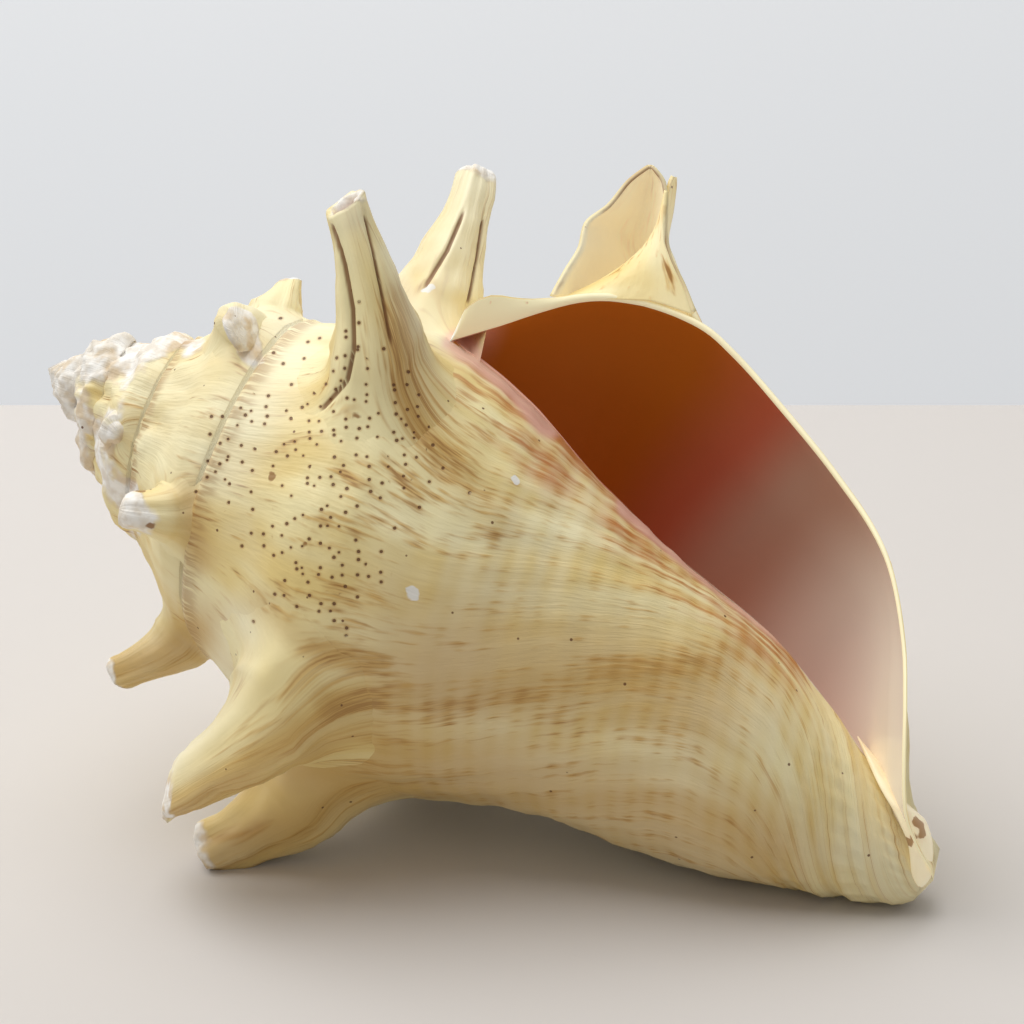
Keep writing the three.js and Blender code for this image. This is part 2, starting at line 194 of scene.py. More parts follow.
def from_shoulder(turn, place):
    """Millimetres across the whorl from its shoulder, less than 0 on the ramp."""
    ramp, cover, side = across_lengths(turn)
    gone = np.where(place < 1, (place - 1) * ramp, np.minimum(place - 1, 1) * cover)
    return gone + np.maximum(place - 2, 0) * side


def place_from_shoulder(turn, gone):
    """The place at some millimetres across the whorl from its shoulder."""
    ramp, cover, side = across_lengths(turn)
    beyond = np.where(gone < cover, 1 + gone / cover, 2 + (gone - cover) / side)
    return np.where(gone < 0, 1 + gone / ramp, beyond)


def rounded(surface, turn, place):
    """A surface with its shoulder rounded, by averaging it over a short way across the whorl."""
    turn, place = np.broadcast_arrays(np.asarray(turn, float), np.asarray(place, float))
    gone = from_shoulder(turn, place)
    r1 = shoulder_radius(turn)
    blur = SHOULDER_ROUNDING * r1 * bell(gone, 0, SHOULDER_ROUNDING * r1 * 1.6)
    total = 0.4 * surface(turn, place)
    for share, weight in ((-1, 0.2), (-0.5, 0.1), (0.5, 0.1), (1, 0.2)):
        there = place_from_shoulder(turn, gone + share * blur)
        total = total + weight * surface(turn, np.clip(there, 0, 3))
    return total


def outer_point(turn, place):
    return rounded(sharp_outer_point, turn, place)


def sharp_inner_point(turn, place):
    """The wall of the interior, a wall's thickness below the outer surface and ending in the core."""
    height, radius = profile(turn, place)
    h1 = shoulder_height(turn)
    deep = smooth(-turn / 0.12)
    wall = LIP_THICKNESS + (WALL_THICKNESS - LIP_THICKNESS) * deep
    way = (height - h1) / (end_height(turn) - h1)
    inner = h1 + (end_height(turn - 1) - h1) * way
    way_there = np.clip((inner - h1) / (end_height(turn) - h1), 0, 1)
    closing = 1 - smooth((way - 0.72) / 0.28) * (1 - np.exp(turn * 14))
    edge = np.sqrt(np.clip((1 - way) / 0.12, 0, 1))
    reach = np.maximum(0, shoulder_radius(turn) * side_share(way_there, turn) - wall * edge) * closing
    ramp = place <= 1
    return point_at(
        np.where(ramp, height, inner),
        np.where(ramp, radius - wall * np.minimum(1, place / 0.25), reach),
        angle_at(turn, place),
    )


def inner_point(turn, place):
    return rounded(sharp_inner_point, turn, place)


def cloud(points, scale, seed):
    """Smooth noise from 0 to 1 at points in millimetres."""
    table = np.random.default_rng(seed).random((16, 16, 16))
    spot = np.asarray(points, float) / scale
    low = np.floor(spot).astype(int)
    part = smooth(spot - low)
    total = 0
    for corner in np.ndindex(2, 2, 2):
        weight = np.prod(np.where(corner, part, 1 - part), -1)
        total = total + weight * table[tuple(np.moveaxis((low + corner) % 16, -1, 0))]
    return total


def rough(points, scale, seed):
    """Noise of several sizes, about -1 to 1."""
    return sum((cloud(points, scale / 2**i, seed + i) - 0.5) / 2**i for i in range(3)) * 1.6


def to_room(points):
    """From the shell's own frame to the room, in metres."""
    roll, dip = math.radians(ROLL), math.radians(AXIS_DIP)
    x, y, z = np.moveaxis(np.asarray(points, float), -1, 0)
    across = y * math.cos(roll) - z * math.sin(roll)
    up = y * math.sin(roll) + z * math.cos(roll)
    ahead = x * math.cos(dip) + up * math.sin(dip)
    height = up * math.cos(dip) - x * math.sin(dip)
    return (np.stack([ahead, across, height], -1) + AXIS_START) / 1000


# The camera, and how to go from the room to places in its picture and back.
CAMERA_AT = np.array(AXIS_START) + (245.01, -403.63, 137.66)
CAMERA_RIGHT = np.array([0.9406, 0.3396, 0])
CAMERA_BACK = np.array([0.3191, -0.8839, 0.3420])
CAMERA_RIGHT /= np.linalg.norm(CAMERA_RIGHT)
CAMERA_BACK /= np.linalg.norm(CAMERA_BACK)
CAMERA_UP = np.cross(CAMERA_BACK, CAMERA_RIGHT)
PICTURE = 1024
FOCAL = 2400
ROOM_TURN = (to_room(np.eye(3)) - to_room(np.zeros((1, 3)))) * 1000


def in_picture(points):
    """Where points of the shell's own frame are seen: picture x and y, and depth in millimetres."""
    seen = to_room(points) * 1000 - CAMERA_AT
    depth = -(seen @ CAMERA_BACK)
    x = PICTURE / 2 + FOCAL * (seen @ CAMERA_RIGHT) / depth
    return x, PICTURE / 2 - FOCAL * (seen @ CAMERA_UP) / depth, depth


def from_picture(x, y, depth):
    """The point of the shell's own frame that is seen at a place in the picture, at a depth."""
    x, y, depth = np.broadcast_arrays(np.asarray(x, float), y, depth)
    ray = ((x - PICTURE / 2) / FOCAL)[..., None] * CAMERA_RIGHT
    ray = ray - ((y - PICTURE / 2) / FOCAL)[..., None] * CAMERA_UP - CAMERA_BACK
    room = CAMERA_AT + ray * depth[..., None] - AXIS_START
    return room @ np.linalg.inv(ROOM_TURN)


PLACES = np.concatenate([
    [0, 0.012, 0.03],
    np.linspace(0.06, 1, 18),
    np.linspace(1, 2, 8)[1:],
    [2.03],
    np.linspace(2.03, 3, 62)[1:],
])
COVER = int(np.argmin(abs(PLACES - 2)))
INNER = COVER + 1
END = len(PLACES) - 1

# Marks on the side that faces the camera, as lines in the picture with a width in pixels. Some of them are
# painted light and painted shade, as noted at each.
MARKS_DEPTH = 515
MARKS = {
    "bored": [
        ([(335, 400), (310, 470), (320, 560)], 60),
        ([(395, 430), (400, 470)], 42),
        ([(245, 410), (215, 500)], 20),
    ],
    "stain": [
        ([(470, 385), (520, 440), (560, 470)], 26),
        ([(625, 522), (690, 575), (760, 625), (805, 660)], 27),
        ([(510, 395), (560, 440), (625, 500)], 14),
    ],
    "pink": [
        ([(456, 344), (476, 352), (520, 388), (548, 424)], 15),
        ([(625, 505), (690, 560), (790, 640)], 11),
    ],
    # painted shade: a darker, more ochre colour on the lower front of the body and under the lower spines
    "low": [
        ([(330, 770), (480, 780), (620, 800), (760, 850)], 60),
        ([(430, 660), (600, 670), (700, 700)], 70),
        ([(110, 670), (160, 660), (200, 630)], 30),
        ([(200, 862), (300, 825), (360, 780)], 30),
        ([(170, 812), (240, 775), (300, 730)], 22),
        ([(190, 500), (200, 560)], 16),
    ],
    # painted light: a paler colour on the tops and left sides of the spines and whorls that face the light
    "light": [
        ([(480, 180), (460, 260), (440, 320)], 34),
        ([(345, 200), (352, 216)], 20),
        ([(290, 340), (260, 400), (225, 470)], 34),
        ([(390, 250), (420, 330)], 14),
        ([(240, 620), (215, 700), (170, 755)], 22),
    ],
    # painted shade: darker ochre bands on the body
    "dusk": [
        ([(330, 705), (430, 700), (560, 692), (660, 672), (740, 650)], 20),
        ([(400, 300), (405, 380), (430, 450), (500, 520)], 22),
        ([(260, 600), (300, 640), (380, 665)], 14),
    ],
    "pale": [([(240, 325), (250, 350)], 16), ([(130, 495), (142, 520)], 18), ([(100, 345), (190, 330)], 22)],
    "seam": [
        ([(331, 228), (343, 262), (352, 310), (353, 350), (346, 382), (322, 408)], 2.6),
        ([(366, 215), (374, 250), (384, 300), (392, 345)], 1.8),
        ([(462, 215), (447, 250), (425, 285)], 2.4),
        ([(484, 220), (478, 260), (470, 300)], 1.8),
    ],
}


def near_line(x, y, line, width):
    """1 on a line in the picture, falling off over a width."""
    best = np.full(np.shape(x), 1e9)
    for (x0, y0), (x1, y1) in zip(line[:-1], line[1:]):
        long = (x1 - x0) ** 2 + (y1 - y0) ** 2
        t = np.clip(((x - x0) * (x1 - x0) + (y - y0) * (y1 - y0)) / long, 0, 1)
        best = np.minimum(best, np.hypot(x - x0 - t * (x1 - x0), y - y0 - t * (y1 - y0)))
    return np.exp(-((best / width) ** 2))


def marks_at(points, normals):
    """The marks at points of the shell's own frame, none on the side that faces away."""
    x, y, depth = in_picture(points)
    towards = (normals @ ROOM_TURN) @ CAMERA_BACK
    front = smooth((towards + 0.05) / 0.25) * smooth((MARKS_DEPTH - depth) / 12)
    return {
        name: front * np.max([near_line(x, y, line, width) for line, width in lines], axis=0)
        for name, lines in MARKS.items()
    }


# How far the lip's edge is turned outwards, along the lip.
FLANGE_PLACE = [0, 0.012, 0.08, 0.15, 0.25, 0.35, 0.5, 0.8, 1.2, 3]
FLANGE_OUT = [0, 6.5, 8, 7, 4.7, 2.9, 1.4, 0.7, 0.3, 0.2]
FLANGE_REACH = 0.035
flange_out = curve_through(FLANGE_PLACE, FLANGE_OUT)

# Spines along the shoulder: turn of the foot, tip (height, radius, angle), radii of foot and tip.
SPINES = [
    {"turn": -2.75, "tip": (26.5, 20, 104), "foot": 4.2, "end": 2.4},
    {"turn": -2.3, "tip": (29, 29, 268), "foot": 5, "end": 2},
    {"turn": -2.04, "tip": (35.6, 37, 347.5), "foot": 6.5, "end": 2.6},
    {"turn": -1.93, "tip": (42, 33.6, 47), "foot": 7, "end": 4.6},
    {"turn": -1.72, "tip": (40.3, 36.5, 116), "foot": 6.5, "end": 3.6},
    {"turn": -1.54, "tip": (43.7, 47.6, 170), "foot": 8.5, "end": 3.4},
    {"turn": -1.38, "tip": (48, 52, 236), "foot": 8, "end": 3},
    {"turn": -1.23, "tip": (52, 57, 289), "foot": 8.5, "end": 3},
    {"turn": -1.08, "tip": (57.1, 76.7, 341), "foot": 13, "end": 3.8, "wide": 1.2, "seamed": 1},
    {"turn": -0.9, "tip": (55.5, 65.7, 39.8), "foot": 11, "end": 4.4, "wide": 1.15, "seamed": 1, "pit": 6},
    {"turn": -0.65, "tip": (67.4, 63.2, 159.6), "foot": 13, "end": 6.8, "wide": 1.1, "ragged": 1},
    {"turn": -0.54, "tip": (74.5, 69.7, 178.4), "foot": 13, "end": 5.6, "wide": 1.15, "ragged": 1},
    {"turn": -0.4, "tip": (75, 63, 231), "foot": 10.5, "end": 4.6, "wide": 1.15},
    {"turn": -0.22, "tip": (82, 80, 292), "foot": 12, "end": 3.5, "wide": 1.2},
]
SPINE_SIDES = 48
SEAMED_SIDES = 112
SKIRT_ROWS = 11
HORN_ROWS = 16
HORN_STRAIGHT = 0.3
HORN_FLARE = 1.35
HORN_JOIN = 0.3
HORN_RISE = 0.16
LARGE_FOOT = 13
SEAM_DEPTH = 1.1

# How far the skirt of a spine spreads over the whorl, as a share of the spine's foot.
SKIRT_RIM = 1.75
SKIRT_MIDDLE = 1.05
SKIRT_TOP = 0.6


class Skin:
    """Vertices with attributes, and faces as lists of vertex numbers."""

    def __init__(self):
        self.points = []
        self.values = []
        self.faces = []
        self.count = 0

    def add(self, points, **values):
        points = np.asarray(points, float)
        shape = points.shape[:-1]
        number = np.arange(self.count, self.count + int(np.prod(shape))).reshape(shape)
        self.points.append(points.reshape(-1, 3))
        full = {name: np.broadcast_to(value, shape).reshape(-1) for name, value in values.items()}
        self.values.append(full)
        self.count += number.size
        return number

    def quads(self, a, b, c, d):
        self.faces += np.stack(np.broadcast_arrays(a, b, c, d), -1).reshape(-1, 4).tolist()

    def sheet(self, grid, around=False):
        """Quads over a grid of vertex numbers, closed along the second direction if around."""
        after = np.roll(grid, -1, axis=1) if around else grid[:, 1:]
        here = grid if around else grid[:, :-1]
        self.quads(here[:-1], after[:-1], after[1:], here[1:])

    def fan(self, middle, ring):
        after = np.roll(ring, -1)
        self.faces += [[int(middle), int(a), int(b)] for a, b in zip(ring, after)]

    def build(self, name):
        points = to_room(np.concatenate(self.points))
        points[:, 2] = np.maximum(points[:, 2], 0)
        once = [list(dict.fromkeys(face)) for face in self.faces]
        faces = [face for face in once if len(face) > 2]
        used = np.unique(np.concatenate([np.asarray(face) for face in faces]))
        place = np.zeros(self.count, int)
        place[used] = np.arange(len(used))
        mesh = bpy.data.meshes.new(name)
        mesh.from_pydata(points[used].tolist(), [], [place[face].tolist() for face in faces])
        names = sorted({name for part in self.values for name in part})
        for value in names:
            parts = [
                part.get(value, np.zeros(len(points)))
                for part, points in zip(self.values, self.points)
            ]
            attribute = mesh.attributes.new(value, "FLOAT", "POINT")
            attribute.data.foreach_set("value", np.concatenate(parts)[used].astype(np.float32))
        form = bmesh.new()
        form.from_mesh(mesh)
        bmesh.ops.recalc_face_normals(form, faces=form.faces)
        form.to_mesh(mesh)
        form.free()
        mesh.shade_smooth()
        made = bpy.data.objects.new(name, mesh)
        bpy.context.scene.collection.objects.link(made)
        return made


# Around the siphonal end the growth lines swing ahead, in degrees around the axis.
LINE_PLACE = [0, 1, 2.1, 2.35, 2.5, 2.6, 2.66, 2.72, 2.76, 2.8, 2.85, 3]
LINE_AHEAD = [0, -6, -7, -26, -45, -54, -54, -44, -28, -2, 42, 180]
line_ahead = curve_through(LINE_PLACE, LINE_AHEAD)
LINE_GATHER = 1.5
CORD_WIDTH = 9


def growth_age(turn, place):
    """Turns counted along the growth lines: the same all along one earlier edge of the lip."""
    turn, place = np.broadcast_arrays(np.asarray(turn, float), np.asarray(place, float))
    gone = from_shoulder(turn, place)
    age = turn - line_ahead(place) / 360 * (1 - smooth((turn + 0.3) / 0.3))
    for spine in SPINES:
        reach = spine["foot"] * LINE_GATHER
        per_turn = 2 * np.pi * shoulder_radius(spine["turn"])
        beside = (turn - spine["turn"]) * per_turn
        away = np.hypot(beside, gone)
        gathered = (away**4 + reach**4) ** 0.25 / np.maximum(away, 0.5)
        near = smooth((0.4 - abs(turn - spine["turn"])) / 0.2)
        age = age + beside * (gathered - 1) / per_turn * near
    return age


def outer_relief(points, turn, place):
    """How far wear, growth marks and cords lift the outer surface, in millimetres."""
    size = shoulder_radius(turn) / 50
    past = -turn - np.minimum(place, 2) / 2
    lumps = rough(points, 11, 3) * 0.45 + rough(points, 5.5, 8) * smooth((past - 1) / 0.8) * 1.6
    crust = smooth((past - 1.7) / 2) * (1.7 + 3.2 * rough(points, 7, 21) + 1.6 * rough(points, 3, 25))
    crust = crust * np.minimum(1, size / 0.22)
    age = growth_age(turn, place)
    growth = (np.sin(age * 92 + 3 * np.sin(age * 23)) * 0.22 + np.sin(age * 251) * 0.1) * size
    growth = growth * smooth((place - 0.1) / 0.4)
    fasciole = np.sin(age * 38) * 0.3 * smooth((place - 2.62) / 0.15)
    height, _ = profile(turn, place)
    cords = np.sin(height * 2 * np.pi / (CORD_WIDTH * size)) * 0.16
    cords = cords * smooth((place - 1.2) / 0.6) * smooth((2.8 - place) / 0.4)
    knees = sum(
        (0.8 if spine["turn"] > -1.2 else 2.4) * spine["foot"] / LARGE_FOOT
        * bell(turn, spine["turn"], 0.045) * bell(place, 1, 0.6)
        for spine in SPINES
    )
    lap = 0.7 * bell(place, 0.05, 0.045) - 0.5 * bell(place, 0, 0.012)
    return (lumps + growth + fasciole + cords + lap) * np.minimum(size, 1.2) + knees + crust


def normals_of(points):
    along = np.gradient(points, axis=0)
    across = np.gradient(points, axis=1)
    return unit(np.cross(across, along))


def main_skin():
    """The whorls, the interior behind the lip, the lip's rim and the wall that ends the interior."""
    skin = Skin()
    rows = np.arange(-SPIRE_TURNS * ROWS, 1)
    turn = (rows / ROWS)[:, None]
    place = PLACES[None, :]
    base = outer_point(turn, place)
    normal = normals_of(base)
    outwards = base - point_at(base[..., 0], 0, 0)
    flip = np.sign((normal * outwards).sum(-1, keepdims=True))
    normal = normal * np.where(flip == 0, 1, flip)
    lift = outer_relief(base, turn, place)
    fade = smooth(-turn / 0.03) * smooth((3 - place) / 0.06)
    # the side of the last covered whorl is the glazed wall of the mouth
    sheltered = (place > 2.01) & (turn > -1 - HOLLOW_TURNS) & (turn < -1)
    lift = np.where(sheltered, lift * 0.15, lift)
    points = base + normal * (lift * fade)[..., None]
    flange = flange_out(place) * smooth((turn + FLANGE_REACH) / FLANGE_REACH) ** 2
    points = points + unit(outwards) * flange[..., None]
    across = place + 0 * turn
    marks = marks_at(points, normal)
    marks = {name: np.where(sheltered, 0, value) for name, value in marks.items()}
    glazed = np.where(sheltered, 1.0, 0.0)
    way = from_shoulder(turn, place) / 30
    deep = np.where(sheltered, -1 - turn, 0)
    callus = np.where(sheltered, smooth(1 - deep / 0.09) * smooth((2.4 - place) / 0.25), 0)
    # thin sets how much painted glow the surface gets near the lip
    number = skin.add(
        points, age=growth_age(turn, place), across=across, way=way, inside=glazed, turn=turn,
        deep=deep, callus=callus, thin=smooth((turn + 0.05) / 0.05), **marks
    )
    last = len(rows) - 1
    # each whorl's suture is the cover line of the one before it
    covered = np.arange(0, last - ROWS + 1)
    number = number.copy()
    number[covered, COVER] = number[covered + ROWS, 0]
    number[last - ROWS:, END] = number[last, END]
    spire = number[: last - ROWS + 1, : COVER + 1]
    skin.sheet(spire)
    skin.sheet(number[last - ROWS:])
    # the apex
    apex = skin.add(point_at(np.array(APEX_HEIGHT), 0, 0)[None], age=-SPIRE_TURNS, turn=-SPIRE_TURNS)[0]
    skin.faces += [[int(apex), int(number[i, 0]), int(number[i + 1, 0])] for i in range(ROWS)]
    skin.faces += [[int(apex), int(number[0, c + 1]), int(number[0, c])] for c in range(COVER)]
    # the interior
    hollow = round(HOLLOW_TURNS * ROWS)
    deep_turn = (np.arange(-hollow, 1) / ROWS)[:, None]
    wall = inner_point(deep_turn, place)
    within = skin.add(
        wall, age=deep_turn + 0 * place, across=place + 0 * deep_turn, inside=1.0, turn=deep_turn,
        deep=-deep_turn
    ).copy()
    before = np.arange(last - ROWS - hollow, last - ROWS + 1)
    within[:, 0] = number[before, INNER]
    within[:, END] = number[before, END]
    skin.sheet(within[:, ::-1])
    skin.sheet(number[before][:, INNER:])
    # the rounded rim of the lip
    out, into = points[last], wall[-1]
    ahead = unit(np.cross(out - into, np.gradient(out, axis=0)))
    forward = outer_point(0.0, PLACES) - outer_point(-0.01, PLACES)
    ahead *= np.sign((ahead * forward).sum(-1, keepdims=True) + 1e-9)
    thick = np.linalg.norm(out - into, axis=-1, keepdims=True)
    rings = [number[last]]
    for share in (0.08, 0.3, 0.6, 0.85, 0.96):
        bulge = math.sin(math.pi * share) * np.minimum(0.35 * thick, 0.7)
        ring = out + (into - out) * share + ahead * bulge
        stain = marks_at(ring, unit(forward))["stain"]
        made = skin.add(ring, across=PLACES, way=PLACES, rim=1.0, thin=1.0, stain=stain).copy()
        made[END] = number[last, END]
        made[0] = number[last, 0]
        rings.append(made)
    rings.append(within[-1])
    skin.sheet(np.array(rings))
    # the deep end
    deep = within[0]
    skin.faces += [[int(deep[0]), int(deep[c + 1]), int(deep[c])] for c in range(1, INNER)]
    skin.quads(
        number[before[0], INNER:END], number[before[0], INNER + 1:], deep[INNER + 1:], deep[INNER:END]
    )
    return skin


def around_shoulder(turn, distance):
    """The point at a distance along the meridian from the shoulder, over the sutures if need be."""
    steps = np.linspace(-1, 3, 241)
    whorl = np.where(steps < 0, -1, np.where((steps >= 2) & (turn < -1), 1, 0))
    line = outer_point(turn + whorl, steps - 2 * whorl)
    length = np.concatenate([[0], np.cumsum(np.linalg.norm(np.diff(line, axis=0), axis=-1))])
    length -= np.interp(1, steps, length)
    return np.stack([np.interp(distance, length, line[:, i]) for i in range(3)], -1)


def horn_skin(skin, spine, index):
    """A horn that grows out of the shoulder: a skirt that lies on the whorl, then the horn."""
    turn = spine["turn"]
    foot = outer_point(turn, 1.0)
    tip = point_at(*spine["tip"])
    wide = spine.get("wide", 1)
    outwards = unit(foot * (0, 1, 1))
    around = np.cross([1, 0, 0], outwards)
    length = np.linalg.norm(tip - foot)
    elbow = foot + outwards * length * HORN_STRAIGHT
    count = SEAMED_SIDES if spine.get("seamed") else SPINE_SIDES
    phi = np.linspace(0, 2 * np.pi, count, endpoint=False)
    per_turn = 2 * np.pi * shoulder_radius(turn)

    def spread(share):
        turns = turn + spine["foot"] * share * wide * np.cos(phi) / per_turn
        gone = spine["foot"] * share * np.sin(phi)
        lying = np.array([around_shoulder(at, away) for at, away in zip(turns, gone)])
        lift = outer_relief(lying, turns, np.clip(place_from_shoulder(turns, gone), 0.1, 2.9))
        return lying + unit(lying * (0, 1, 1)) * lift[:, None]

    def ring(way):
        centre = (1 - way) ** 2 * foot + 2 * way * (1 - way) * elbow + way**2 * tip
        tangent = unit(2 * (1 - way) * (elbow - foot) + 2 * way * (tip - elbow))
        along = unit(np.cross(tangent, around))
        narrow = (1 - way) ** HORN_FLARE
        first = spine["end"] + (spine["foot"] * wide - spine["end"]) * narrow
        second = spine["end"] + (spine["foot"] - spine["end"]) * narrow
        return (
            centre + around * (first * np.cos(phi))[:, None] + along * (second * np.sin(phi))[:, None],
            tangent,
        )

    rim = spread(SKIRT_RIM) - outwards * 0.5
    middle = spread(SKIRT_MIDDLE) + outwards * 0.1
    joined, tangent = ring(HORN_JOIN)
    below = joined - tangent * length * HORN_RISE
    skirt = np.linspace(0, 1, SKIRT_ROWS + 1)[:-1]
    rings = [
        (1 - t) ** 3 * rim + 3 * t * (1 - t) ** 2 * middle + 3 * t**2 * (1 - t) * below + t**3 * joined
        for t in skirt
    ]
    rings += [ring(way)[0] for way in np.linspace(HORN_JOIN, 1, HORN_ROWS)]
    _, tangent = ring(1.0)
    end = rings[-1]
    if spine.get("pit"):
        for inwards, deep in ((0.9, -0.5), (0.72, -0.2), (0.64, 2.0), (0.5, spine["pit"])):
            rings.append(tip + (end - tip) * inwards - tangent * deep)
    else:
        for inwards, ahead in ((0.93, 0.25), (0.75, 0.5), (0.4, 0.62)):
            rings.append(tip + (end - tip) * inwards + tangent * spine["end"] * ahead)
    rings = np.array(rings)
    far = np.linspace(0, 1, len(rings))[:, None]
    outside = unit(rings - rings.mean(1, keepdims=True))
    size = spine["foot"] / LARGE_FOOT
    folds = (np.sin(phi * 5 + index * 1.7) * 0.35 + np.sin(phi * 9 + index) * 0.18)[None, :] * size
    lift = (folds + rough(rings, 7, 40 + index) * 0.9 * size) * smooth(far / 0.3)
    if spine.get("ragged"):
        lift = lift + rough(rings, 3.2, 70 + index) * 1.6 * smooth((far - 0.8) / 0.2)
    rings = rings + outside * lift[..., None]
    # the marks belong to the spines that are seen, and not to those behind them
    marks = marks_at(rings, outside)
    if turn > -0.5 or -1.5 < turn < -1.2:
        marks = {name: 0 * value for name, value in marks.items()}
    rings = rings - outside * (marks["seam"] * SEAM_DEPTH)[..., None]
    # the growth lines run on from the whorl over the skirt, and then along the horn
    share = np.full((len(rings), 1), SKIRT_TOP)
    share[:SKIRT_ROWS, 0] = SKIRT_RIM * (1 - skirt) ** 3 + 3 * SKIRT_MIDDLE * skirt * (1 - skirt) ** 2
    share[:SKIRT_ROWS, 0] += SKIRT_TOP * skirt**2 * (3 - 2 * skirt)
    under_turn = turn + spine["foot"] * share * wide * np.cos(phi) / per_turn
    gone = spine["foot"] * share * np.sin(phi)
    under = np.clip(place_from_shoulder(under_turn, gone), 0.3, 2.9)
    age = growth_age(under_turn, under)
    way = gone / 30 + far * length / 30
    worn = smooth((far - 0.78) / 0.2)
    hollow = 1.0 if spine.get("pit") else 0.0
    pit = hollow * smooth((far - 0.93) / 0.05)
    number = skin.add(rings, age=age, way=way, across=under, turn=turn, worn=worn, pit=pit, **marks)
    skin.sheet(number, around=True)
    top = rings[-1].mean(0) + (1 - hollow) * tangent * 0.1
    top_number = skin.add(top[None], age=turn, across=1.0, turn=turn, worn=1.0, pit=hollow)[0]
    skin.fan(top_number, number[-1])


# The half-made spine at the lip: edges of its leaves as they are seen in the picture, tip last.
LEAF_LEFT = [(553, 297), (566, 274), (582, 247), (587, 226), (610, 207), (631, 182), (650, 168)]
LEAF_RIGHT = [(692, 312), (681, 285), (667, 255), (663, 228), (664, 202), (662, 184), (651, 168)]
SHEET_TOP = [(556, 300), (600, 279), (628, 260), (645, 243), (655, 226), (661, 205), (664, 190)]
SHEET_SIDE = [(692, 314), (684, 290), (669, 256), (663, 236), (663, 212), (664, 190)]
SLIVER_LEFT = [(692, 316), (680, 290), (669, 262), (664, 240), (667, 210), (671, 184), (675, 177)]
SLIVER_RIGHT = [(704, 326), (689, 294), (676, 262), (669, 240), (674, 210), (677, 184), (677, 177)]
SHEET_BOTTOM = [(556, 302), (600, 299), (645, 301), (692, 316)]
LEAF_DEPTH = [467, 474]
LEAF_FOOT = {"turn": 0.06, "place": [0.47, 1.9], "sink": 0.8}
LEAF_THICKNESS = 0.9
LEAF_BULGE = 7.5
SHEET_DEPTH = 466.6
SLIVER_DEPTH = 470


def along(line, t):
    """Points at shares t of the way along a line of picture places."""
    line = np.asarray(line, float)
    way = np.linspace(0, 1, len(line))
    x = curve_through(way, line[:, 0])
    y = curve_through(way, line[:, 1])
    return x(t), y(t)


def border(grid):
    """The points around a grid, once round."""
    return np.concatenate([grid[0, :-1], grid[:-1, -1], grid[-1, :0:-1], grid[:0:-1, 0]])


def thin_sheet(skin, front, thickness, **values):
    """A sheet with a back and edges, given the grid of its front."""
    normal = normals_of(front)
    view = CAMERA_BACK @ np.linalg.inv(ROOM_TURN)
    normal *= np.where((normal @ view).mean() > 0, 1, -1)
    back = front - normal * thickness
    rims = np.zeros(front.shape[:2])
    rims[:, 0] = rims[:, -1] = rims[-1] = 1
    # thin sets the painted glow (emission) of the sheet; its back glows less
    lying = {"thin": 1.0, "turn": 0.0, **values}
    ahead = skin.add(front, edge=rims, **lying)
    behind = skin.add(back, edge=rims, **{**lying, "leaf": 0.0, "thin": 0.3})
    skin.sheet(ahead)
    skin.sheet(behind[:, ::-1])
    skin.sheet(np.array([border(behind), border(ahead)]), around=True)


def lip_spine_skin(skin):
    """The half-made spine: the bulging leaf behind, the sheet in front of it and the sliver beside it."""
    t = np.linspace(0, 1, 46)[:, None]
    s = np.linspace(0, 1, 40)[None, :]
    low, high = LEAF_DEPTH
    depth = low + (high - low) * t[:, 0]
    left = from_picture(*along(LEAF_LEFT, t[:, 0]), depth)
    right = from_picture(*along(LEAF_RIGHT, t[:, 0]), depth)
    flat = left[:, None] * (1 - s[..., None]) + right[:, None] * s[..., None]
    place0, place1 = LEAF_FOOT["place"]
    arc = np.sin(np.pi * s[0])
    foot = outer_point(-LEAF_FOOT["turn"] * arc, place0 + (place1 - place0) * s[0])
    foot = foot - unit(foot * (0, 1, 1)) * LEAF_FOOT["sink"]
    foot = foot - (foot[:1] - flat[0, :1]) * (1 - s[0])[:, None] - (foot[-1:] - flat[0, -1:]) * s[0][:, None]
    view = CAMERA_BACK @ np.linalg.inv(ROOM_TURN)
    bulge = LEAF_BULGE * np.sin(np.pi * s) ** 0.8 * np.sin(np.pi * np.clip(t, 0, 1) ** 0.7) ** 0.8
    rest = (1 - t[..., None]) ** 1.5
    leaf = flat + rest * (foot - flat[0])[None] - view * bulge[..., None]
    leaf = leaf + view * (rough(leaf, 6, 90) * 0.5 * np.sin(np.pi * s))[..., None]
    streaks = 0.02 + s * 0.05 + 0 * t
    thin_sheet(skin, leaf, LEAF_THICKNESS, age=streaks, way=t * 1.2 + 0 * s, across=1.0, leaf=1.0)

    bottom = np.stack(along(SHEET_BOTTOM, s[0]), -1)
    top = np.stack(along(SHEET_TOP, s[0]), -1)
    side = np.stack(along(SHEET_SIDE, t[:, 0]), -1)
    seen = bottom[None] * (1 - t[..., None]) + top[None] * t[..., None]
    straight = bottom[-1] * (1 - t) + top[-1] * t
    seen = seen + s[..., None] ** 3 * (side - straight)[:, None]
    depth = SHEET_DEPTH + 4.5 * t - 1.2 * np.sin(np.pi * t) * s
    sheet = from_picture(seen[..., 0], seen[..., 1], depth)
    thin_sheet(skin, sheet, LEAF_THICKNESS, age=streaks + 0.1, way=t * 1.2 + 0 * s, across=1.0, leaf=0.0)

    s = np.linspace(0, 1, 8)[None, :]
    depth = SLIVER_DEPTH + 4 * t[:, 0]
    left = from_picture(*along(SLIVER_LEFT, t[:, 0]), depth)
    right = from_picture(*along(SLIVER_RIGHT, t[:, 0]), depth + 1.5)
    sliver = left[:, None] * (1 - s[..., None]) + right[:, None] * s[..., None]
    streaks = 0.2 + s * 0.02 + 0 * t
    thin_sheet(skin, sliver, LEAF_THICKNESS, age=streaks, way=t * 1.2 + 0 * s, across=1.0, leaf=0.3)
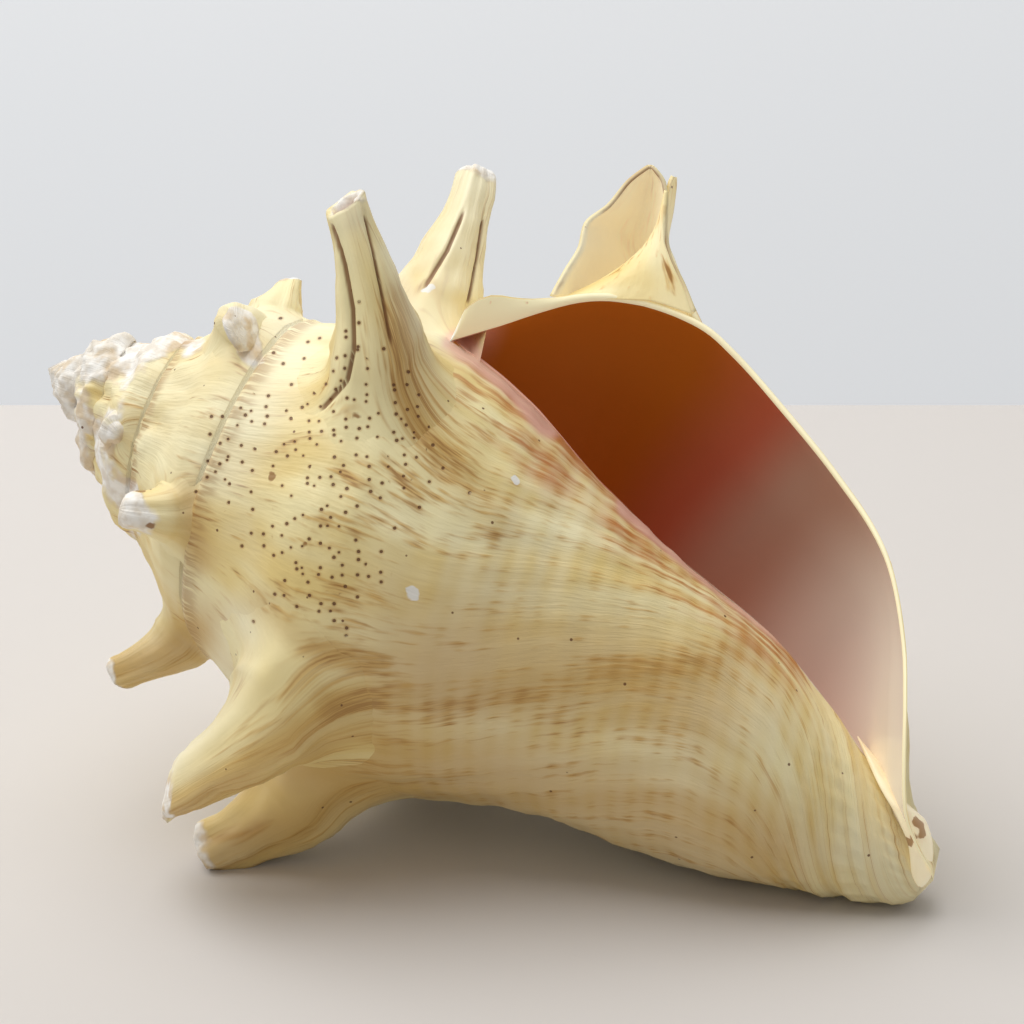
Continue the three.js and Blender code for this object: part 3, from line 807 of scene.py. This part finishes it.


# The fold that closes the siphonal end, and small marks (x, y and radius in millimetres), where they are
# seen in the picture: white chips, and brown marks, mostly painted shade in holes and a small cavity, the
# rest brown spots.
FOLD_LEFT = [(857, 737), (878, 784), (899, 822), (909, 850), (912, 888)]
FOLD_RIGHT = [(858, 736), (892, 778), (914, 809), (926, 821), (933, 846), (934, 868), (925, 890)]
FOLD_THICKNESS = 1.6
CHIPS_AND_HOLE_SHADE = {
    "white": [(411, 592, 1.2), (516, 481, 1), (367, 709, 0.9), (168, 622, 1.5), (427, 290, 1.4)],
    "brown": [
        (356, 416, 0.9), (306, 543, 0.7), (273, 477, 1), (143, 486, 1.3),
        (152, 524, 1), (487, 302, 1), (507, 306, 1.2), (526, 303, 0.9),
        (917, 833, 1.9), (920, 825, 1.6), (907, 842, 1.1),
    ],
}


class Front:
    """What is seen of a skin from the camera, to find how deep a place in the picture lies."""

    def __init__(self, skin):
        self.x, self.y, self.depth = in_picture(np.concatenate(skin.points))

    def depth_at(self, x, y):
        gap = np.hypot(self.x - x, self.y - y)
        near = gap < max(16, np.sort(gap)[3])
        near &= self.depth < self.depth[near].min() + 7
        weight = 1 / (gap[near] + 1) ** 3
        return (self.depth[near] * weight).sum() / weight.sum()


def end_fold_skin(skin, front):
    """The fold lies on the shell along its left edge, and rounds over to its right edge."""
    t = np.linspace(0, 1, 44)[:, None]
    s = np.linspace(0, 1, 16)[None, :]
    steps = np.linspace(0, 1, 9)
    left = np.stack(along(FOLD_LEFT, steps), -1)
    depths = [front.depth_at(x, y) for x, y in left]
    base = np.polyval(np.polyfit(steps, depths, 2), t)
    x0, y0 = along(FOLD_LEFT, t)
    x1, y1 = along(FOLD_RIGHT, t)
    round_over = 1 - np.sqrt(np.clip(1 - s**2, 0, 1))
    depth = base + 0.7 * (1 - s) ** 2 - 0.9 * np.sin(np.pi * s) + 5 * round_over
    fold = from_picture(x0 + (x1 - x0) * s, y0 + (y1 - y0) * s, depth)
    thickness = FOLD_THICKNESS * np.clip(t * 3, 0.02, 1)[..., None]
    values = {"age": 0.3 + s * 0.01 + 0 * t, "way": t + 0 * s, "across": 2.7}
    # the fold gets a painted glow as well as its gloss
    thin_sheet(skin, fold, thickness, thin=0.0, glossy=1.0, **values)


class Socket:
    """A shader socket that can be added, multiplied and compared like a number."""

    def __init__(self, shader, source):
        self.shader = shader
        self.source = source

    def _math(self, operation, *others, swap=False):
        terms = [self, *others]
        if swap:
            terms = terms[::-1]
        return self.shader.node("ShaderNodeMath", {"operation": operation}, dict(enumerate(terms)))

    def __add__(self, other):
        return self._math("ADD", other)

    def __sub__(self, other):
        return self._math("SUBTRACT", other)

    def __mul__(self, other):
        return self._math("MULTIPLY", other)

    def __radd__(self, other):
        return self._math("ADD", other, swap=True)

    def __rsub__(self, other):
        return self._math("SUBTRACT", other, swap=True)

    def most(self, other):
        return self._math("MAXIMUM", other)

    def clamp(self):
        return self.shader.node("ShaderNodeClamp", {}, {0: self})

    def above(self, low, high):
        """0 below low, 1 above high, smooth between them."""
        return self.shader.node(
            "ShaderNodeMapRange",
            {"interpolation_type": "SMOOTHSTEP"},
            {"Value": self, "From Min": low, "From Max": high},
        )


class Shader:
    """A material whose nodes are made one by one."""

    def __init__(self, name):
        self.material = bpy.data.materials.new(name)
        self.material.use_nodes = True
        self.tree = self.material.node_tree
        self.tree.nodes.clear()

    def node(self, kind, settings, inputs, output=0):
        made = self.tree.nodes.new(kind)
        for name, value in settings.items():
            setattr(made, name, value)
        for key, value in inputs.items():
            if isinstance(value, Socket):
                self.tree.links.new(value.source, made.inputs[key])
            else:
                made.inputs[key].default_value = value
        return Socket(self, made.outputs[output]) if len(made.outputs) else None

    def attribute(self, name):
        return self.node("ShaderNodeAttribute", {"attribute_name": name}, {}, "Fac")

    def position(self):
        return self.node("ShaderNodeTexCoord", {}, {}, "Object")

    def vector(self, x, y, z):
        return self.node("ShaderNodeCombineXYZ", {}, {0: x, 1: y, 2: z})

    def noise(self, vector, scale, detail):
        inputs = {"Vector": vector, "Scale": scale, "Detail": detail}
        return self.node("ShaderNodeTexNoise", {}, inputs)

    def dot(self, vector, direction):
        settings = {"operation": "DOT_PRODUCT"}
        return self.node("ShaderNodeVectorMath", settings, {0: vector, 1: direction.tolist()}, "Value")

    def red(self, colour):
        return self.node("ShaderNodeSeparateColor", {}, {0: colour})

    def mix(self, factor, first, second):
        made = self.tree.nodes.new("ShaderNodeMix")
        made.data_type = "RGBA"
        for key, value in ((0, factor), (6, first), (7, second)):
            if isinstance(value, Socket):
                self.tree.links.new(value.source, made.inputs[key])
            else:
                made.inputs[key].default_value = value
        return Socket(self, made.outputs[2])

    def spots(self, where, ragged, places):
        """1 inside small ragged round marks, each given as a point and a size."""
        inside = ragged - 1  # a start outside every mark
        for point, size in places:
            settings = {"operation": "DISTANCE"}
            gap = self.node("ShaderNodeVectorMath", settings, {0: where, 1: point.tolist()}, "Value")
            inside = inside.most(size - gap)
        return (inside + ragged).above(0, 0.0004)

    def surface(self, inputs, constants):
        bsdf = self.node("ShaderNodeBsdfPrincipled", {}, {**inputs, **constants})
        self.node("ShaderNodeOutputMaterial", {}, {"Surface": bsdf})
        return self.material


def tint(red, green, blue):
    """A colour given in screen values from 0 to 255."""
    def light(value):
        share = value / 255
        return share / 12.92 if share <= 0.04045 else ((share + 0.055) / 1.055) ** 2.4

    return (light(red), light(green), light(blue), 1)


def shell_material(chips_and_hole_shade):
    """The shell's finish, with painted light and shade in places. Chips are small round marks: a point in the
    room and a size, in metres; the white ones are chips, most brown ones are painted shade in holes.
    """
    s = Shader("shell")
    age = s.attribute("age")
    across = s.attribute("across")
    turn = s.attribute("turn")
    inside = s.attribute("inside")
    bored = s.attribute("bored")
    seam = s.attribute("seam")
    dusk = s.attribute("dusk")
    stain = s.attribute("stain")
    pit = s.attribute("pit")
    where = s.position()
    glazed = inside.above(0.3, 0.7)

    # streaks run along the growth lines
    way = s.attribute("way")
    broad = s.noise(s.vector(age * 24, way * 0.8, 0), 1.0, 2)
    medium = s.noise(s.vector(age * 90, way * 2.2, 4.4), 1.0, 3)
    fine = s.noise(s.vector(age * 300, way * 4.5, 3.1), 1.0, 2)
    hair = s.noise(s.vector(age * 800, way * 7, 7.7), 1.0, 1)
    blotch = s.noise(where, 30, 3)
    speck = s.noise(where, 380, 2)
    cords = s.node("ShaderNodeMath", {"operation": "SINE"}, {0: way * 50 + blotch * 6}) * 0.5 + 0.5
    cords = cords * across.above(2.05, 2.2)
    cream = s.mix(broad.above(0.35, 0.65), tint(246, 232, 178), tint(232, 206, 134))
    cream = s.mix(blotch.above(0.45, 0.75) * 0.6, cream, tint(248, 240, 206))
    ochre = s.mix(hair.above(0.35, 0.65), tint(212, 166, 84), tint(176, 122, 46))
    calm = (1 - across.above(0.85, 1.1)) * 0.05 + (0 - turn).above(1, 1.3) * 0.03
    # the painted shade bands also deepen the streaks
    streak = medium * 0.55 + fine * 0.45 + dusk * 0.13 + stain * 0.08 - cords * 0.04 - calm
    outer = s.mix(streak.above(0.5, 0.66) * 0.75, cream, ochre)
    deep_streak = (medium * 0.5 + fine * 0.3 + hair * 0.2 + dusk * 0.1 - cords * 0.03).above(0.6, 0.7)
    outer = s.mix(deep_streak * 0.7, outer, tint(148, 96, 34))
    outer = s.mix(cords * blotch.above(0.3, 0.6) * 0.3, outer, tint(248, 238, 200))
    # painted shade on the lower body and under the lower spines
    outer = s.mix(s.attribute("low") * 0.58, outer, tint(192, 146, 72))
    # painted light on the tops and left sides that face the light
    outer = s.mix(s.attribute("light") * 0.55, outer, tint(252, 244, 212))
    # painted shade bands on the body
    outer = s.mix(dusk * 0.35, outer, tint(186, 146, 76))
    burnt = stain * (medium * 0.6 + blotch * 0.6).above(0.45, 0.7)
    outer = s.mix(burnt * 0.85, outer, tint(186, 104, 34))
    outer = s.mix(s.attribute("pink").above(0.15, 0.7) * 0.85, outer, tint(232, 184, 166))

    # white wear on the spire, on the knobs and on the broken tips
    white = s.mix(speck.above(0.35, 0.65), tint(252, 248, 240), tint(232, 222, 206))
    white = s.mix(s.noise(where, 170, 2).above(0.5, 0.62) * 0.6, white, tint(214, 182, 128))
    spire = (0 - turn - across * 0.5).above(1.3, 3.2) * 0.8
    chalk = s.attribute("worn") * 0.8 + s.attribute("pale") * 0.9 + spire
    chalk = (chalk + (s.noise(where, 110, 3) - 0.5) * 1.8).above(0.45, 0.7)
    outer = s.mix(chalk, outer, white)
    suture = (1 - across.above(0.006, 0.018)) * turn.above(-3.6, -2.6)
    # brown patches beside the suture on the later whorls
    brown_by_suture = (1 - across.above(0.05, 0.22)) * (fine * 0.6 + blotch * 0.5).above(0.5, 0.62)
    outer = s.mix(brown_by_suture * 0.5 * turn.above(-2.6, -2.0), outer, tint(160, 108, 48))
    outer = s.mix(suture * 0.95, outer, tint(254, 250, 236))

    # small holes bored by sponges, filled with a dark colour that is painted shade inside the holes
    flat = s.vector(s.dot(where, CAMERA_RIGHT), s.dot(where, CAMERA_UP), 0)
    cell = {"Vector": flat, "Scale": 460.0, "Randomness": 1.0}
    shape = {"voronoi_dimensions": "2D"}
    gap = s.node("ShaderNodeTexVoronoi", shape, cell, "Distance")
    pick = s.red(s.node("ShaderNodeTexVoronoi", shape, cell, "Color"))
    size = pick * 0.07
    chosen = (pick + bored * 0.85).above(1.02, 1.04)
    bores = (1 - (gap - size).above(0.04, 0.1)) * chosen
    ring = (1 - (gap - size).above(0.1, 0.26)) * chosen
    around = {"Vector": where, "Scale": 210.0, "Randomness": 1.0}
    spread = s.node("ShaderNodeTexVoronoi", {}, around, "Distance")
    chance = s.red(s.node("ShaderNodeTexVoronoi", {}, around, "Color"))
    hole = bores + (1 - spread.above(0.045, 0.07)) * chance.above(0.4, 0.42) * (1 - glazed)
    hole = hole.clamp()
    outer = s.mix(ring * 0.4, outer, tint(190, 140, 70))
    # painted shade: the dark colour inside the holes
    outer = s.mix(hole * 0.9, outer, tint(104, 60, 20))
    outer = s.mix(seam.above(0.2, 0.7) * 0.85, outer, tint(128, 78, 28))
    outer = s.mix(pit * 0.8, outer, tint(176, 120, 50))
    # the leaves: pale, partly their own cream and partly painted light where the front sheet shades them
    leaf = s.attribute("leaf")
    outer = s.mix(leaf * 0.7, outer, tint(236, 226, 202))
    glossy = s.attribute("glossy")
    outer = s.mix(glossy * 0.75, outer, tint(244, 230, 196))
    edge = s.attribute("edge").above(0.3, 0.95)
    outer = s.mix(edge * leaf * medium.above(0.35, 0.55) * 0.9, outer, tint(140, 92, 30))
    # the lip's rim: pale, partly its own colour and partly painted light on a rim that faces down into shade
    rim = s.attribute("rim")
    outer = s.mix(rim.above(0.2, 0.8) * 0.85, outer, tint(246, 236, 196))
    ragged = (speck - 0.5) * 0.003
    spots = {name: s.spots(where, ragged, places) for name, places in chips_and_hole_shade.items()}
    # painted shade: most brown marks darken holes and the small cavity at the siphonal end; the rest are
    # brown spots
    outer = s.mix(spots["brown"] * 0.85, outer, tint(146, 98, 40))
    outer = s.mix(spots["white"] * 0.9, outer, tint(238, 236, 230))

    # the glaze of the interior, orange brown above and pale towards the siphonal end
    soft = s.noise(where, 16, 2) * 0.1
    deep = s.attribute("deep")
    along = across + soft + deep * 0.25
    glaze = s.mix(along.above(2.12, 2.36), tint(192, 110, 34), tint(196, 106, 78))
    glaze = s.mix(along.above(2.32, 2.5), glaze, tint(190, 152, 130))
    glaze = s.mix(along.above(2.54, 2.8), glaze, tint(240, 228, 210))
    # darker and redder deeper in: partly the glaze's own colour, partly painted shade
    glaze = s.mix(deep.above(0.05, 0.35) * 0.6, glaze, tint(184, 72, 20))
    corner = (1 - across.above(0.1, 0.3)) * (1 - deep.above(0.02, 0.12))
    glaze = s.mix(corner * 0.8, glaze, tint(226, 170, 150))
    glaze = s.mix(s.attribute("callus") * 0.85, glaze, tint(240, 196, 178))
    colour = s.mix(glazed, outer, glaze)
    # painted glow: emission that stands in for light coming through the thin lip and its leaves and a little
    # through the wall, and lifts the callus and the fold at the siphonal end out of their shade
    glow = s.attribute("thin") * 0.6 * (1 - glazed) + glazed * 0.225 + s.attribute("callus") * 0.375
    # painted glow on the fold at the siphonal end
    glow = glow + glossy * 0.55
    through = s.mix(glow, (0, 0, 0, 1), colour)

    relief = medium * 0.25 + fine * 0.3 + speck * 0.12
    relief = relief - bores * 0.9 + chalk * speck * 0.8
    relief = relief * (1 - glazed * 0.93) * (1 - glossy * 0.7)
    bump = s.node("ShaderNodeBump", {}, {"Strength": 0.7, "Distance": 0.0008, "Height": relief})
    shine = 0.5 + chalk * 0.3 - glazed * 0.24 - s.attribute("pink") * 0.2 - glossy * 0.15
    inputs = {"Base Color": colour, "Roughness": shine.clamp(), "Normal": bump, "Emission Color": through}
    return s.surface(inputs, {"Emission Strength": 0.4})


skin = main_skin()
for index, spine in enumerate(SPINES):
    horn_skin(skin, spine, index)
lip_spine_skin(skin)
front = Front(skin)
end_fold_skin(skin, front)
front = Front(skin)
chips_and_hole_shade = {
    name: [(to_room(from_picture(x, y, front.depth_at(x, y))), size / 1000) for x, y, size in places]
    for name, places in CHIPS_AND_HOLE_SHADE.items()
}
shell = skin.build("conch_skin")
shell.data.materials.append(shell_material(chips_and_hole_shade))
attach(shell, "root")
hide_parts(NODE)


# The plain room: how far ahead of the camera the floor ends, and where the wall is beyond it, in
# millimetres.
FLOOR_REACH = 710
FLOOR_BEHIND = 1500
HALF_WIDTH = 3000
WALL_BEYOND = 500
WALL_BELOW = 400
WALL_HEIGHT = 2600
WALL_LIGHT = 0.32
WINDOW = {"at": (-0.4, 0.0, 1.15), "towards": (0, 0, 0.05), "size": 1.3, "power": 14}
SKY = (0.95, 0.97, 1, 1)
SKY_LIGHT = 0.38


def plain_material(name, colour, light):
    constants = {"Base Color": colour, "Roughness": 0.9, "Emission Color": colour, "Emission Strength": light}
    return Shader(name).surface({}, constants)


def room():
    """A pale floor that ends behind the shell, and a plain wall beyond it."""
    ahead = -CAMERA_BACK * (1, 1, 0)
    ahead /= np.linalg.norm(ahead)
    start = CAMERA_AT * (1, 1, 0)
    near, far = start - ahead * FLOOR_BEHIND, start + ahead * FLOOR_REACH
    side = CAMERA_RIGHT * HALF_WIDTH
    wall_foot = far + ahead * WALL_BEYOND - (0, 0, WALL_BELOW)
    wall_top = wall_foot + (0, 0, WALL_HEIGHT)
    for name, low, high, colour, light in (
        ("floor", near, far, tint(212, 206, 200), 0),
        ("wall", wall_foot, wall_top, tint(236, 237, 238), WALL_LIGHT),
    ):
        corners = np.array([low - side, low + side, high + side, high - side]) / 1000
        mesh = bpy.data.meshes.new(name)
        mesh.from_pydata(corners.tolist(), [], [(0, 1, 2, 3)])
        made = bpy.data.objects.new(name, mesh)
        bpy.context.scene.collection.objects.link(made)
        mesh.materials.append(plain_material(name, colour, light))


def lamp(name, at, towards, size, power):
    data = bpy.data.lights.new(name, "AREA")
    data.size = size
    data.energy = power
    made = bpy.data.objects.new(name, data)
    made.location = at
    made.rotation_euler = (Vector(towards) - Vector(at)).to_track_quat("-Z", "Y").to_euler()
    bpy.context.scene.collection.objects.link(made)


def camera():
    data = bpy.data.cameras.new("camera")
    data.sensor_width = 36
    data.lens = data.sensor_width * FOCAL / PICTURE
    made = bpy.data.objects.new("camera", data)
    turn = Matrix((CAMERA_RIGHT, CAMERA_UP, CAMERA_BACK)).transposed().to_4x4()
    made.matrix_world = Matrix.Translation(Vector(CAMERA_AT / 1000)) @ turn
    bpy.context.scene.collection.objects.link(made)
    bpy.context.scene.camera = made


room()
camera()
lamp("window", **WINDOW)
bpy.context.scene.view_settings.view_transform = "Standard"
world = bpy.data.worlds.new("world")
world.use_nodes = True
world.node_tree.nodes["Background"].inputs["Color"].default_value = SKY
world.node_tree.nodes["Background"].inputs["Strength"].default_value = SKY_LIGHT
bpy.context.scene.world = world
